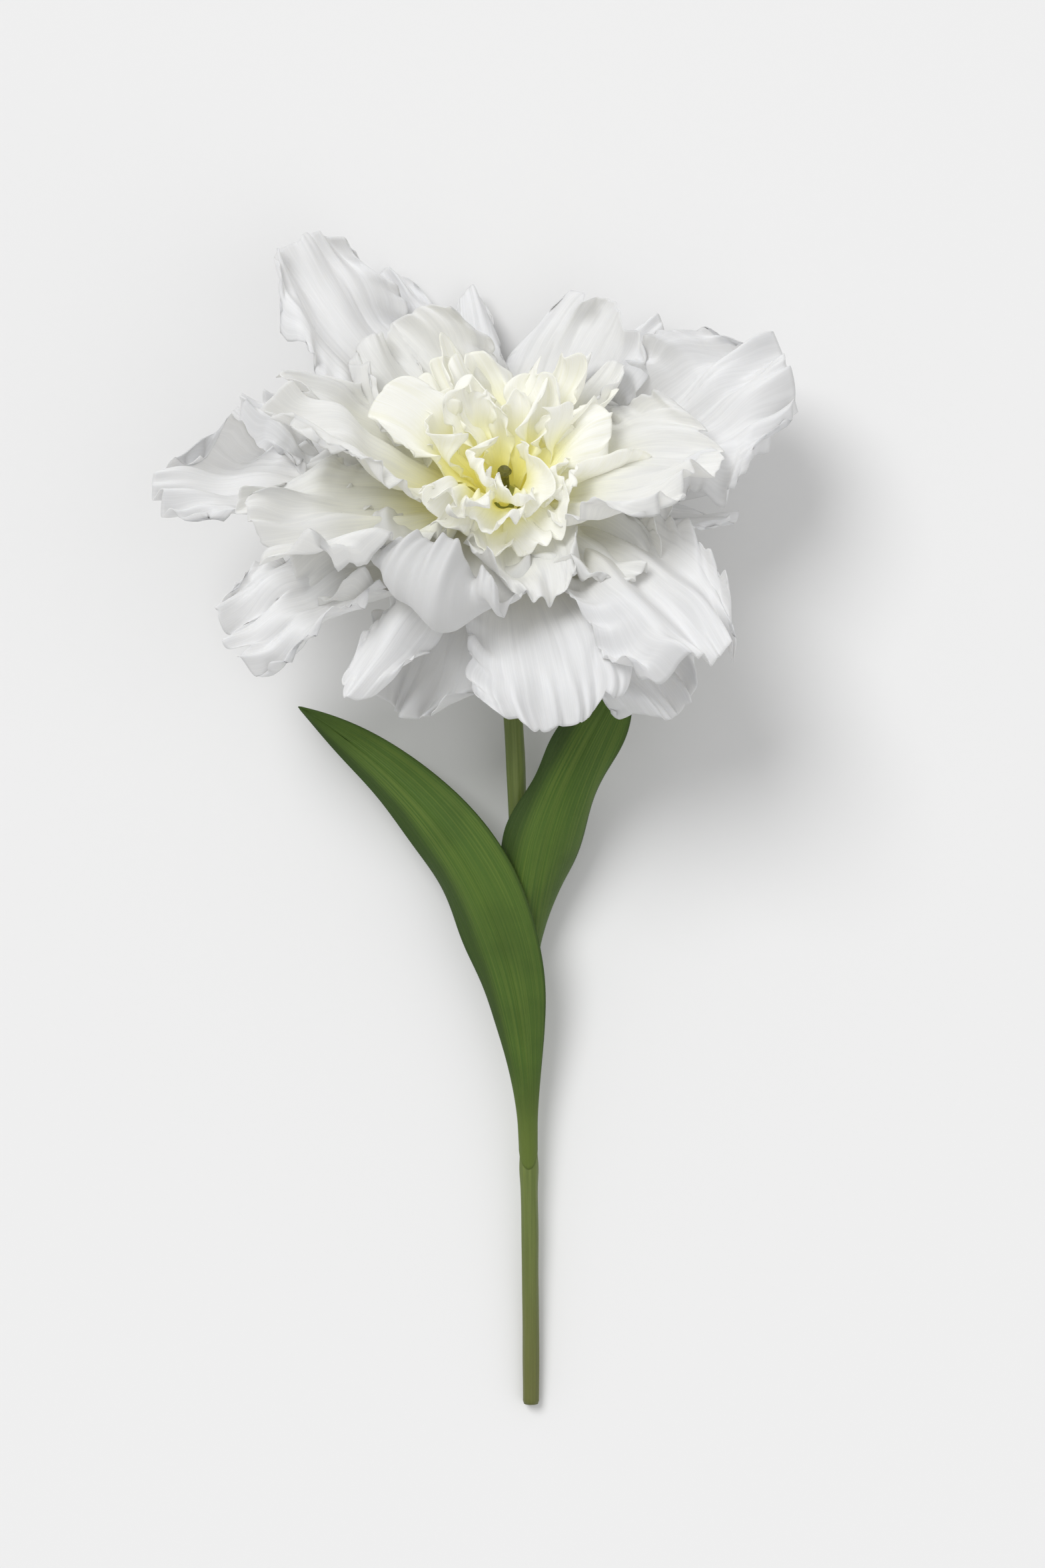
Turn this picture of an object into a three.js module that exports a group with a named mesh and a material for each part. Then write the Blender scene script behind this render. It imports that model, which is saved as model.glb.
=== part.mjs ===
// A cut double tulip with frilled petals, lying on a flat surface as it lands when it is laid down:
// the stem and its two leaves run along -Y, and the open flower at the +Y end turns its face up.
//
// Millimetres and degrees. +Z is up and the surface is z = 0. The exported group is centred over the
// middle of its own footprint.
import * as THREE from "three";

// ---------------------------------------------------------------- driving dimensions

const CLEARANCE = 0.3; // gap between pieces that grow out of each other

const FLOWER = {
  height: 40, // of the foot of the receptacle over the surface
  tilt: 38, // of the flower's axis from the vertical, towards +Y
};

const STEM = {
  cutRadius: 3.1, // at the cut end
  neckRadius: 3.8, // below the flower
  length: 339, // from the cut end to the receptacle, seen from above
  sway: 10, // how far the cut end stands off to +X
  neckHeight: 24, // of the centre line where the neck starts to bend up
  neckReach: 30, // from the receptacle to where the neck starts to bend up, seen from above
  sides: 14,
  steps: 30,
};

const RECEPTACLE = { height: 12, footRadius: 6.6, topRadius: 4.6 };

const PISTIL = { height: 16, radius: 1.9, stigmaRadius: 2.7 };

const PETAL = {
  thickness: 0.8,
  claw: 3.2, // width where a petal leaves the receptacle
  cup: 0.1, // how far the two edges rise, as a share of half the width
  fullest: 0.76, // share of the length where a petal is widest
};

const LEAF = { thickness: 1, sheath: 78 };

// Leaves. node is the distance of the leaf's foot from the stem's cut end and width is measured flat.
// curl is the radius that the blade is rolled to past the sheath, and roll turns the blade's back
// from the top of the stem towards -X, at the foot and at the tip. The tip and the bend before it
// stand at tip and bend from the foot: to +X, to +Y and up. handle is how far the leaf keeps to the
// stem.
const LEAVES = [
  {
    name: "leaf_left",
    node: 91,
    handle: 66,
    bend: [-2, 126, 36],
    tip: [-87, 175, -2],
    width: 35,
    curl: 24,
    roll: [0, 24],
  },
  {
    name: "leaf_right",
    node: 150,
    handle: 34,
    bend: [-2, 74, 11],
    tip: [34, 120, 33],
    width: 32,
    curl: 14,
    roll: [-62, 6],
  },
];

// Petals, whorl by whorl. turn is the place around the flower's axis, counted from +X towards the
// rear of the flower, and seat the place on the receptacle: 1 at its foot, 0 at its top. open is the
// angle to the axis where the petal starts, and where it ends. hood bends the last part in towards
// the axis, and cup stands in for PETAL.cup.
const OUTER_PETALS = [
  { turn: 140, seat: 0.88, open: [57, 70], length: 120, width: 46, hood: 18, cup: 0.14 },
  { turn: 118, seat: 1, open: [68, 82], length: 104, width: 34 },
  { turn: 100, seat: 0.9, open: [64, 82], length: 85, width: 16 },
  { turn: 70, seat: 0.9, open: [64, 52], length: 82, width: 44, hood: 40, cup: 0.16 },
  { turn: 50, seat: 1, open: [73, 91], length: 90, width: 38 },
  { turn: 15, seat: 0.88, open: [62, 80], length: 108, width: 60 },
  { turn: 2, seat: 1, open: [80, 98], length: 80, width: 38 },
  { turn: 328, seat: 0.88, open: [73, 99], length: 104, width: 58 },
  { turn: 310, seat: 1, open: [88, 130], length: 95, width: 40 },
  { turn: 285, seat: 0.88, open: [72, 128], length: 90, width: 56, cup: 0.05 },
  { turn: 244, seat: 1, open: [92, 124], length: 80, width: 40 },
  { turn: 239, seat: 0.88, open: [80, 108], length: 92, width: 18 },
  { turn: 210, seat: 1, open: [76, 98], length: 112, width: 44 },
  { turn: 180, seat: 0.88, open: [65, 87], length: 122, width: 36 },
  { turn: 160, seat: 1, open: [75, 84], length: 96, width: 44 },
];

const MIDDLE_PETALS = [
  { turn: 132, seat: 0.64, open: [46, 58], length: 76, width: 54, cup: 0.12 },
  { turn: 111, seat: 0.78, open: [54, 62], length: 76, width: 24 },
  { turn: 44, seat: 0.64, open: [48, 58], length: 62, width: 28 },
  { turn: 20, seat: 0.76, open: [58, 73], length: 62, width: 34 },
  { turn: 346, seat: 0.62, open: [50, 72], length: 80, width: 54 },
  { turn: 325, seat: 0.74, open: [64, 95], length: 64, width: 40 },
  { turn: 242, seat: 0.66, open: [70, 72], length: 96, width: 40, hood: 147 },
  { turn: 210, seat: 0.9, open: [72, 92], length: 80, width: 38 },
  { turn: 205, seat: 0.78, open: [58, 79], length: 98, width: 46 },
  { turn: 180, seat: 0.66, open: [48, 65], length: 90, width: 46 },
  { turn: 282, seat: 0.58, open: [54, 90], length: 60, width: 38 },
];

// The small petals of the middle stand in rings. first is the turn of a ring's first petal, and open
// and length are those of a petal at the rear. A petal at the front opens wider and is shorter.
const INNER_RINGS = [
  { count: 9, first: 90, seat: 0.46, open: [34, 46], length: 54, width: 16 },
  { count: 9, first: 110, seat: 0.28, open: [26, 36], length: 54, width: 14 },
  { count: 6, first: 95, seat: 0.08, open: [13, 24], length: 46, width: 12 },
];

const AT_FRONT = { wider: [14, 24], shorter: 12 };

function ringPetals(ring) {
  return Array.from({ length: ring.count }, (_, place) => {
    const turn = ring.first + (360 * place) / ring.count;
    const rearward = Math.sin(THREE.MathUtils.degToRad(turn));
    return {
      turn,
      seat: ring.seat,
      open: ring.open.map((angle, end) => angle + AT_FRONT.wider[end] * Math.max(0, -rearward)),
      length: ring.length - (AT_FRONT.shorter * (1 - rearward)) / 2,
      width: ring.width,
    };
  });
}

const INNER_PETALS = INNER_RINGS.flatMap(ringPetals);

// ---------------------------------------------------------------- helpers

const rad = THREE.MathUtils.degToRad;
const mix = THREE.MathUtils.lerp;
const smooth = THREE.MathUtils.smoothstep;

function finish(color, roughness) {
  return new THREE.MeshStandardMaterial({ color, roughness, metalness: 0 });
}

function named(name, geometry, material) {
  const mesh = new THREE.Mesh(geometry, material);
  mesh.name = name;
  return mesh;
}

// A slab bent onto the surface that pointAt(along, across) gives for along 0 to 1 and across -1 to 1.
// Its two faces stand half the thickness off that surface, square to it.
function bentSheet(pointAt, alongCells, acrossCells, thickness) {
  const slab = new THREE.BoxGeometry(2, 1, 1, acrossCells, alongCells, 1);
  const position = slab.getAttribute("position");
  const step = 2e-3;
  for (let i = 0; i < position.count; i++) {
    const across = position.getX(i);
    const along = position.getY(i) + 0.5;
    const [before, after] = [Math.max(along - step, 0), Math.min(along + step, 1)];
    const lengthwise = pointAt(after, across).sub(pointAt(before, across));
    const sideways = pointAt(along, across + step).sub(pointAt(along, across - step));
    const offset = sideways.cross(lengthwise).setLength(position.getZ(i) * thickness);
    position.setXYZ(i, ...pointAt(along, across).add(offset));
  }
  slab.computeVertexNormals();
  return slab;
}

// ---------------------------------------------------------------- stem

// The stem's centre line from the cut end to the receptacle.
function stemPath() {
  const axis = new THREE.Vector3(0, Math.sin(rad(FLOWER.tilt)), Math.cos(rad(FLOWER.tilt)));
  const top = new THREE.Vector3(0, 0, FLOWER.height).addScaledVector(axis, -CLEARANCE);
  const cut = new THREE.Vector3(STEM.sway, -STEM.length, STEM.cutRadius);
  const neck = new THREE.Vector3(0, -STEM.neckReach, STEM.neckHeight);
  const lean = new THREE.Vector3(STEM.sway / STEM.length, 0, 0);
  neck.addScaledVector(lean, STEM.neckReach);
  const rise = neck.clone().sub(cut);
  const third = rise.length() / 3;
  const bow = new THREE.Vector3(STEM.sway / 4, 0, 0);
  const straight = new THREE.CubicBezierCurve3(
    cut,
    cut.clone().addScaledVector(new THREE.Vector3(0, rise.y, rise.z).normalize(), third),
    cut.clone().addScaledVector(rise, 2 / 3).add(bow),
    neck,
  );
  const tangent = straight.getTangent(1);
  const handle = neck.distanceTo(top) * 0.42;
  const bend = new THREE.CubicBezierCurve3(
    neck,
    neck.clone().addScaledVector(tangent, handle),
    top.clone().addScaledVector(axis, -handle),
    top,
  );
  const path = new THREE.CurvePath();
  path.add(straight);
  path.add(bend);
  return path;
}

// The stem's radius at a share of its length from the cut end.
function stemRadius(share) {
  return mix(STEM.cutRadius, STEM.neckRadius, share);
}

// Two directions square to a line that runs with the stem: sideways (+X) and out of its top.
function stemSides(tangent) {
  const side = new THREE.Vector3(0, 1, 0).cross(new THREE.Vector3(0, 0, 1));
  side.addScaledVector(tangent, -side.dot(tangent)).normalize();
  return [side, side.clone().cross(tangent)];
}

function stemGeometry(path) {
  const rod = new THREE.CylinderGeometry(1, 1, 1, STEM.sides, STEM.steps);
  const position = rod.getAttribute("position");
  for (let i = 0; i < position.count; i++) {
    const share = position.getY(i) + 0.5;
    const [side, up] = stemSides(path.getTangentAt(share));
    const point = path.getPointAt(share);
    point.addScaledVector(side, position.getX(i) * stemRadius(share));
    point.addScaledVector(up, position.getZ(i) * stemRadius(share));
    position.setXYZ(i, ...point);
  }
  rod.computeVertexNormals();
  return rod;
}

// ---------------------------------------------------------------- leaves

function leafGeometry(leaf, path) {
  const share = leaf.node / path.getLength();
  const foot = path.getPointAt(share);
  const tangent = path.getTangentAt(share);
  const line = new THREE.CubicBezierCurve3(
    foot,
    foot.clone().addScaledVector(tangent, leaf.handle),
    foot.clone().add(new THREE.Vector3(...leaf.bend)),
    foot.clone().add(new THREE.Vector3(...leaf.tip)),
  );
  const inner = stemRadius(share) + CLEARANCE + LEAF.thickness / 2;
  const wrap = rad(LEAF.sheath) * inner;
  const pointAt = (along, across) => {
    const curl = mix(inner, leaf.curl, smooth(along, 0.04, 0.45));
    const widening = mix(wrap, leaf.width / 2, smooth(along, 0.06, 0.55));
    const half = widening * Math.sqrt(Math.max(1 - Math.max((along - 0.42) / 0.59, 0) ** 2.2, 0));
    const [side, up] = stemSides(line.getTangentAt(along));
    const back = mix(leaf.roll[0], leaf.roll[1], smooth(along, 0, 0.7));
    const turn = (across * half) / curl - rad(back);
    const centre = line.getPointAt(along);
    const crown = inner - curl;
    centre.addScaledVector(side, -Math.sin(rad(back)) * crown);
    centre.addScaledVector(up, Math.cos(rad(back)) * crown);
    centre.addScaledVector(side, Math.sin(turn) * curl);
    return centre.addScaledVector(up, Math.cos(turn) * curl);
  };
  return bentSheet(pointAt, 14, 6, LEAF.thickness);
}

// ---------------------------------------------------------------- flower

function receptacleRadius(seat) {
  return mix(RECEPTACLE.topRadius, RECEPTACLE.footRadius, seat);
}

function receptacleGeometry(stemTop) {
  const profile = [
    [0, 0],
    [stemTop, 0],
    [RECEPTACLE.footRadius, RECEPTACLE.height * 0.12],
    [receptacleRadius(0.5), RECEPTACLE.height * 0.5],
    [RECEPTACLE.topRadius, RECEPTACLE.height * 0.92],
    [RECEPTACLE.topRadius * 0.8, RECEPTACLE.height],
    [0, RECEPTACLE.height],
  ];
  return new THREE.LatheGeometry(profile.map(([r, h]) => new THREE.Vector2(r, h)), 20);
}

function pistilGeometry() {
  const { height, radius, stigmaRadius } = PISTIL;
  const profile = [
    [0, 0],
    [radius * 0.8, 0],
    [radius, height * 0.3],
    [radius * 0.85, height * 0.75],
    [stigmaRadius, height * 0.88],
    [stigmaRadius * 0.7, height],
    [0, height * 0.94],
  ];
  return new THREE.LatheGeometry(profile.map(([r, h]) => new THREE.Vector2(r, h)), 12);
}

// The petal's line from claw to tip in the plane through the flower's axis: the distance from the
// axis and the height along it, at a share of the length.
function petalProfile(petal) {
  const steps = 40;
  let radius = receptacleRadius(petal.seat) + CLEARANCE + PETAL.thickness;
  let height = (1 - petal.seat) * RECEPTACLE.height;
  const line = [[radius, height]];
  for (let i = 0; i < steps; i++) {
    const share = (i + 0.5) / steps;
    const open = mix(...petal.open, share) - (petal.hood ?? 0) * smooth(share, 0.6, 1);
    radius += (Math.sin(rad(open)) * petal.length) / steps;
    height += (Math.cos(rad(open)) * petal.length) / steps;
    line.push([radius, height]);
  }
  return (share) => {
    const at = share * steps;
    const i = Math.min(Math.floor(at), steps - 1);
    return [mix(line[i][0], line[i + 1][0], at - i), mix(line[i][1], line[i + 1][1], at - i)];
  };
}

function petalHalfWidth(petal, share) {
  const flare = mix(PETAL.claw, petal.width, smooth(share, 0, PETAL.fullest)) / 2;
  const beyond = Math.max(share - PETAL.fullest, 0) / (1.1 - PETAL.fullest);
  return flare * Math.sqrt(1 - beyond * beyond);
}

function petalGeometry(petal) {
  const profile = petalProfile(petal);
  const start = profile(0)[0];
  const cup = petal.cup ?? PETAL.cup;
  const pointAt = (along, across) => {
    const [radius, height] = profile(along);
    const [nearRadius, nearHeight] = profile(Math.max(along - 0.02, 0));
    const [farRadius, farHeight] = profile(Math.min(along + 0.02, 1));
    const slope = Math.atan2(farRadius - nearRadius, farHeight - nearHeight);
    const half = petalHalfWidth(petal, along);
    const raised = cup * half * across * across;
    const reach = radius - raised * Math.cos(slope);
    const angle = rad(petal.turn) + (across * half) / Math.max(radius, start);
    return new THREE.Vector3(
      reach * Math.cos(angle),
      reach * Math.sin(angle),
      height + raised * Math.sin(slope),
    );
  };
  const small = petal.length < 65;
  return bentSheet(pointAt, small ? 5 : 7, small ? 3 : 5, PETAL.thickness);
}

function addWhorl(flower, whorl, petals, color) {
  petals.forEach((petal, i) => {
    const name = `petal_${whorl}_${String(i + 1).padStart(2, "0")}`;
    flower.add(named(name, petalGeometry(petal), finish(color, 0.6)));
  });
}

function flowerGroup(stemTop) {
  const flower = new THREE.Group();
  const receptacle = named("receptacle", receptacleGeometry(stemTop), finish(0x8f9a55, 0.6));
  receptacle.rotation.x = Math.PI / 2;
  const pistil = named("pistil", pistilGeometry(), finish(0x7c7a3c, 0.55));
  pistil.rotation.x = Math.PI / 2;
  pistil.position.z = RECEPTACLE.height + CLEARANCE;
  flower.add(receptacle, pistil);
  addWhorl(flower, "outer", OUTER_PETALS, 0xf2f2f0);
  addWhorl(flower, "middle", MIDDLE_PETALS, 0xf3f2ea);
  addWhorl(flower, "inner", INNER_PETALS, 0xf1eecb);
  flower.rotation.x = -rad(FLOWER.tilt);
  flower.position.z = FLOWER.height;
  return flower;
}

// ---------------------------------------------------------------- assembly

function tulipGroup() {
  const tulip = new THREE.Group();
  const path = stemPath();
  tulip.add(named("stem", stemGeometry(path), finish(0x56702b, 0.5)));
  for (const leaf of LEAVES) {
    tulip.add(named(leaf.name, leafGeometry(leaf, path), finish(0x4f7a33, 0.5)));
  }
  tulip.add(flowerGroup(stemRadius(1)));
  tulip.updateMatrixWorld(true);
  const box = new THREE.Box3().setFromObject(tulip, true);
  const centre = box.getCenter(new THREE.Vector3());
  tulip.position.set(-centre.x, -centre.y, -box.min.z);
  return tulip;
}

export default tulipGroup();
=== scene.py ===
"""Looks of a cut double tulip with frilled petals, lying on a pale floor.

Every visible piece is a finely modelled stand-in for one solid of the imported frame. Lengths in the
size tables are millimetres and angles degrees, and meshes are made in metres.
"""

import logging
import math
from dataclasses import dataclass, field, replace
from enum import Enum
from typing import Any

import bpy
import numpy as np
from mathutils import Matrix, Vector


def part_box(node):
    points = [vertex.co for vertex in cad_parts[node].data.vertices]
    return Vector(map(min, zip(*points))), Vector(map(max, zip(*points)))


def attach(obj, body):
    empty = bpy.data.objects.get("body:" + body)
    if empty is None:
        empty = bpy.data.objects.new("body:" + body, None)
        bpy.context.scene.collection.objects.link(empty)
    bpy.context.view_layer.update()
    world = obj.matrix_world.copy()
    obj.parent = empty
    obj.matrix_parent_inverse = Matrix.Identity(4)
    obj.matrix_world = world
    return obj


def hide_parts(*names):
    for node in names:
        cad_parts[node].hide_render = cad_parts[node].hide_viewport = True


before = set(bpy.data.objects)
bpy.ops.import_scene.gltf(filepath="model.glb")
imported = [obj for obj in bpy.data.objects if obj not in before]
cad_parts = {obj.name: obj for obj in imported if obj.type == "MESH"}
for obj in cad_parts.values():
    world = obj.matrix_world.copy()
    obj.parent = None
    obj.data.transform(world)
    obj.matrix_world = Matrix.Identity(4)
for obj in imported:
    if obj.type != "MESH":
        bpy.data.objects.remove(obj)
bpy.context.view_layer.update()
LOG = logging.getLogger("tulip")
MM = 0.001

Array = np.ndarray
Colour = tuple[float, float, float]
Marks = dict[str, Array]
Outline = list[tuple[float, float]]


# --- small maths


def smooth(value: Array | float, low: float, high: float) -> Array:
    """An eased step from 0 at low to 1 at high."""
    share = np.clip((np.asarray(value, float) - low) / (high - low), 0.0, 1.0)
    return share * share * (3.0 - 2.0 * share)


def mix(low: Array | float, high: Array | float, share: Array | float) -> Array | float:
    """A straight blend of low and high by share."""
    return low + (high - low) * share


def ripple(value: Array, seed: int, waves: float) -> Array:
    """A smooth wandering curve of about unit height.

    Args:
        value: where to read it, 0 to 1 over the whole curve.
        seed: which curve.
        waves: how many waves fit in the whole curve.

    Returns:
        The curve at every value.
    """
    pick = np.random.RandomState(seed)
    total = np.zeros_like(value)
    for share in (0.6, 1.0, 1.45):
        rate = waves * share * pick.uniform(0.9, 1.1)
        total += np.sin(math.tau * (rate * value + pick.uniform())) / 1.6
    return total


def lobes(value: Array, seed: int, count: float) -> Array:
    """Rounded lobes of uneven width.

    Args:
        value: where to read them, 0 to 1 over the whole row.
        seed: which row of lobes.
        count: how many there are.

    Returns:
        1 at their crowns and 0 in the narrow cuts between them.
    """
    pick = np.random.RandomState(seed + 7000)
    uneven = 0.3 * np.sin(math.tau * (value * count / 2.7 + pick.uniform()))
    return np.abs(np.sin(math.pi * (count * value + pick.uniform() + uneven))) ** 0.5


def swell(first: Array, second: Array, seed: int, waves: float) -> Array:
    """A smooth wandering surface of about unit height.

    Args:
        first: one coordinate, 0 to 1 over the surface.
        second: the other.
        seed: which surface.
        waves: how many waves fit across it.

    Returns:
        Its height at every point.
    """
    pick = np.random.RandomState(seed)
    total = np.zeros_like(first)
    for _ in range(5):
        angle = pick.uniform(0.0, math.tau)
        rate = waves * pick.uniform(0.5, 1.2)
        phase = pick.uniform(0.0, math.tau)
        line = math.cos(angle) * first + math.sin(angle) * second
        total += np.sin(math.tau * rate * line + phase)
    return total / 2.4


def unit(vectors: Array) -> Array:
    """Vectors along the last axis, scaled to length 1."""
    length = np.linalg.norm(vectors, axis=-1, keepdims=True)
    return vectors / np.maximum(length, 1e-12)


def grid_normals(points: Array) -> Array:
    """Unit normals of a grid of points, out of the side that the flower's axis is on."""
    along, across = np.gradient(points, axis=(0, 1))
    return unit(np.cross(along, across))


def grid(rows: int, columns: int) -> tuple[Array, Array]:
    """How far along a sheet, 0 to 1, and across it, -1 to 1, each point of its grid is."""
    return tuple(np.meshgrid(np.linspace(0, 1, rows), np.linspace(-1, 1, columns), indexing="ij"))


# --- shader helpers


class Value:
    """A number or vector on its way through a material, with the maths to go on from it."""

    def __init__(self, shader: "Shader", socket: Any) -> None:
        """Wraps a socket of the shader's tree."""
        self.shader = shader
        self.socket = socket

    def _maths(self, operation: str, *values: Any) -> "Value":
        """One Math node on these values."""
        return self.shader.node("ShaderNodeMath", {"operation": operation}, dict(enumerate(values)))

    def __add__(self, other: Any) -> "Value":
        """This plus other."""
        return self._maths("ADD", self, other)

    __radd__ = __add__

    def __sub__(self, other: Any) -> "Value":
        """This less other."""
        return self._maths("SUBTRACT", self, other)

    def __rsub__(self, other: Any) -> "Value":
        """Other less this."""
        return self._maths("SUBTRACT", other, self)

    def __mul__(self, other: Any) -> "Value":
        """This times other."""
        return self._maths("MULTIPLY", self, other)

    __rmul__ = __mul__

    def size(self) -> "Value":
        """This without its sign."""
        return self._maths("ABSOLUTE", self)

    def ease(self, low: float, high: float) -> "Value":
        """An eased step from 0 at low to 1 at high."""
        settings = {"interpolation_type": "SMOOTHSTEP"}
        return self.shader.node("ShaderNodeMapRange", settings, {0: self, 1: low, 2: high})


class Shader:
    """The node tree of one material, ending in a Principled surface."""

    def __init__(self, name: str) -> None:
        """Starts a material of this name."""
        self.material = bpy.data.materials.new(name)
        self.material.use_nodes = True
        self.tree = self.material.node_tree
        self.tree.nodes.clear()
        self.surface = self.tree.nodes.new("ShaderNodeBsdfPrincipled")
        output = self.tree.nodes.new("ShaderNodeOutputMaterial")
        self.tree.links.new(self.surface.outputs[0], output.inputs[0])

    def put(self, socket: Any, value: Any) -> None:
        """Links a Value to a socket, or sets the socket to a plain value.

        Args:
            socket: the node's socket.
            value: a Value, a colour, a vector or a number.
        """
        if isinstance(value, Value):
            self.tree.links.new(value.socket, socket)
        elif isinstance(value, tuple) and socket.type == "RGBA":
            socket.default_value = (*value[:3], 1.0)
        else:
            socket.default_value = value

    def node(self, kind: str, settings: dict[str, Any], inputs: dict[Any, Any], out: Any = 0) -> Value:
        """Adds a node.

        Args:
            kind: the node's type.
            settings: its own properties, set before its sockets.
            inputs: values or links by socket name or number.
            out: the socket that the result is read from.

        Returns:
            The result.
        """
        made = self.tree.nodes.new(kind)
        for key, value in settings.items():
            setattr(made, key, value)
        for key, value in inputs.items():
            self.put(made.inputs[key], value)
        return Value(self, made.outputs[out])

    def reading(self, name: str) -> Value:
        """A number stored on the mesh under a name."""
        return self.node("ShaderNodeAttribute", {"attribute_name": name}, {}, "Fac")

    def place(self) -> Value:
        """The position on the object, in metres."""
        return self.node("ShaderNodeTexCoord", {}, {}, "Object")

    def noise(self, scale: float, detail: float = 3.0, where: Value | None = None) -> Value:
        """Cloudy values from 0 to 1 over a place, scale clouds to the metre."""
        inputs = {"Vector": where or self.place(), "Scale": scale, "Detail": detail}
        return self.node("ShaderNodeTexNoise", {}, inputs)

    def joined(self, x: Any, y: Any, z: Any) -> Value:
        """A vector of three numbers."""
        return self.node("ShaderNodeCombineXYZ", {}, {0: x, 1: y, 2: z})

    def blend(self, share: Value, first: Any, second: Any) -> Value:
        """A colour between first and second, by share."""
        return self.node("ShaderNodeMix", {"data_type": "RGBA"}, {0: share, 6: first, 7: second}, 2)

    def bump(self, height: Value, distance: float, strength: float = 1.0) -> None:
        """Raises the surface by a height, distance metres at 1."""
        inputs = {"Height": height, "Distance": distance, "Strength": strength}
        self.dress(Normal=self.node("ShaderNodeBump", {}, inputs))

    def dress(self, **sockets: Any) -> None:
        """Sets sockets of the surface, named with _ for a space."""
        for key, value in sockets.items():
            self.put(self.surface.inputs[key.replace("_", " ")], value)


# --- finishes


@dataclass(frozen=True)
class PetalFinish:
    """A thin white petal, cream and then yellow towards its foot, with fine lengthwise veins, painted shade
    and a faint painted light.
    """

    name: str
    tip: Colour
    middle: Colour
    foot: Colour
    shade: Colour
    foot_end: float
    middle_end: float
    painted_glow: float

    def material(self) -> bpy.types.Material:
        """Makes it.

        Returns:
            The petal's material.
        """
        sh = Shader(self.name)
        along, across = sh.reading("along"), sh.reading("across")
        rim, seed = sh.reading("rim"), sh.reading("seed")
        cloud = sh.noise(38.0)
        reach = along + (cloud - 0.5) * 0.22
        colour = sh.blend(reach.ease(0.0, self.foot_end), self.foot, self.middle)
        colour = sh.blend(reach.ease(self.foot_end * 0.6, self.middle_end), colour, self.tip)
        lines = sh.noise(1.0, 2.0, sh.joined(across * 46.0, along * 3.0, seed * 40.0))
        broad = sh.noise(1.0, 2.0, sh.joined(across * 9.0, along * 2.0, seed * 17.0))
        vein = (lines - 0.5).size().ease(0.16, 0.0)
        stain = broad.ease(0.52, 0.72) * along.ease(0.2, 0.6)
        colour = sh.blend(stain * 0.34, colour, self.shade)
        colour = sh.blend(vein * 0.16, colour, self.shade)
        # Painted shade: the petal is greyed towards its rim.
        colour = sh.blend(rim.ease(0.93, 1.0) * 0.25, colour, self.shade)
        # Painted shade: a petal that lies in shade is greyed all over, by the number stored on it.
        colour = sh.blend(sh.reading("painted_shade"), colour, self.shade)
        sh.dress(Base_Color=colour, Roughness=0.5 + 0.12 * broad)
        sh.bump(lines * 0.35 + broad * 0.9, 0.0005, 0.35)
        sh.dress(Subsurface_Weight=0.35, Subsurface_Radius=(1.0, 0.93, 0.8), Subsurface_Scale=0.0035)
        sh.dress(Specular_IOR_Level=0.3, Sheen_Weight=0.08, Sheen_Roughness=0.5)
        # Painted light: every petal gives off a faint light of its own colour, strongest in the inner whorl,
        # standing in for light that shines through the thin petals.
        sh.dress(Emission_Color=colour, Emission_Strength=self.painted_glow)
        return sh.material


@dataclass(frozen=True)
class LeafFinish:
    """A waxy green leaf with parallel veins, darker margins and a band of painted shade along one side."""

    name: str
    blade: Colour
    pale: Colour
    margin_and_shade: Colour
    foot: Colour

    def material(self) -> bpy.types.Material:
        """Makes it.

        Returns:
            The leaf's material.
        """
        sh = Shader(self.name)
        along, across, rim = sh.reading("along"), sh.reading("across"), sh.reading("rim")
        lines = sh.noise(1.0, 2.0, sh.joined(across * 26.0, along * 2.2, 3.0))
        fine = sh.noise(1.0, 2.0, sh.joined(across * 70.0, along * 3.0, 8.0))
        cloud = sh.noise(26.0, 4.0)
        colour = sh.blend(lines.ease(0.35, 0.7), self.blade, self.pale)
        colour = sh.blend(cloud.ease(0.42, 0.75) * 0.5, colour, self.margin_and_shade)
        colour = sh.blend(rim.ease(0.86, 1.0) * 0.7, colour, self.margin_and_shade)
        # Painted shade: a dark band along the side at across -1, where the blade turns away and lies in
        # shade, and where the right leaf's fold is shadowed.
        painted_shade_band = (across + (cloud - 0.5) * 0.5).ease(-0.35, -0.75) * along.ease(0.08, 0.3)
        colour = sh.blend(painted_shade_band * 0.8, colour, self.margin_and_shade)
        colour = sh.blend(along.ease(0.9, 1.0) * 0.5, colour, self.margin_and_shade)
        colour = sh.blend(along.ease(0.2, 0.02) * 0.95, colour, self.foot)
        sh.dress(Base_Color=colour, Roughness=0.5 + 0.16 * cloud)
        sh.bump(lines * 0.8 + fine * 0.5, 0.0006, 0.6)
        sh.dress(Subsurface_Weight=0.08, Subsurface_Radius=(0.6, 1.0, 0.3), Subsurface_Scale=0.002)
        sh.dress(Specular_IOR_Level=0.3)
        return sh.material


@dataclass(frozen=True)
class StemFinish:
    """A smooth living stem with faint streaks, browner at its cut end."""

    name: str
    skin: Colour
    streak: Colour
    cut: Colour

    def material(self) -> bpy.types.Material:
        """Makes it.

        Returns:
            The stem's material.
        """
        sh = Shader(self.name)
        along, across = sh.reading("along"), sh.reading("across")
        streaks = sh.noise(1.0, 3.0, sh.joined(across * 14.0, along * 9.0, 1.0))
        specks = sh.noise(900.0, 2.0)
        cloud = sh.noise(18.0, 3.0)
        colour = sh.blend(streaks.ease(0.38, 0.68), self.skin, self.streak)
        colour = sh.blend(along.ease(0.28, 0.0) * 0.75, colour, self.cut)
        colour = sh.blend(specks.ease(0.62, 0.72) * 0.25, colour, self.cut)
        sh.dress(Base_Color=colour, Roughness=0.4 + 0.2 * cloud)
        sh.bump(streaks * 0.9 + specks * 0.25, 0.0004, 0.6)
        sh.dress(Subsurface_Weight=0.08, Subsurface_Radius=(0.6, 1.0, 0.3), Subsurface_Scale=0.002)
        return sh.material


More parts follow.
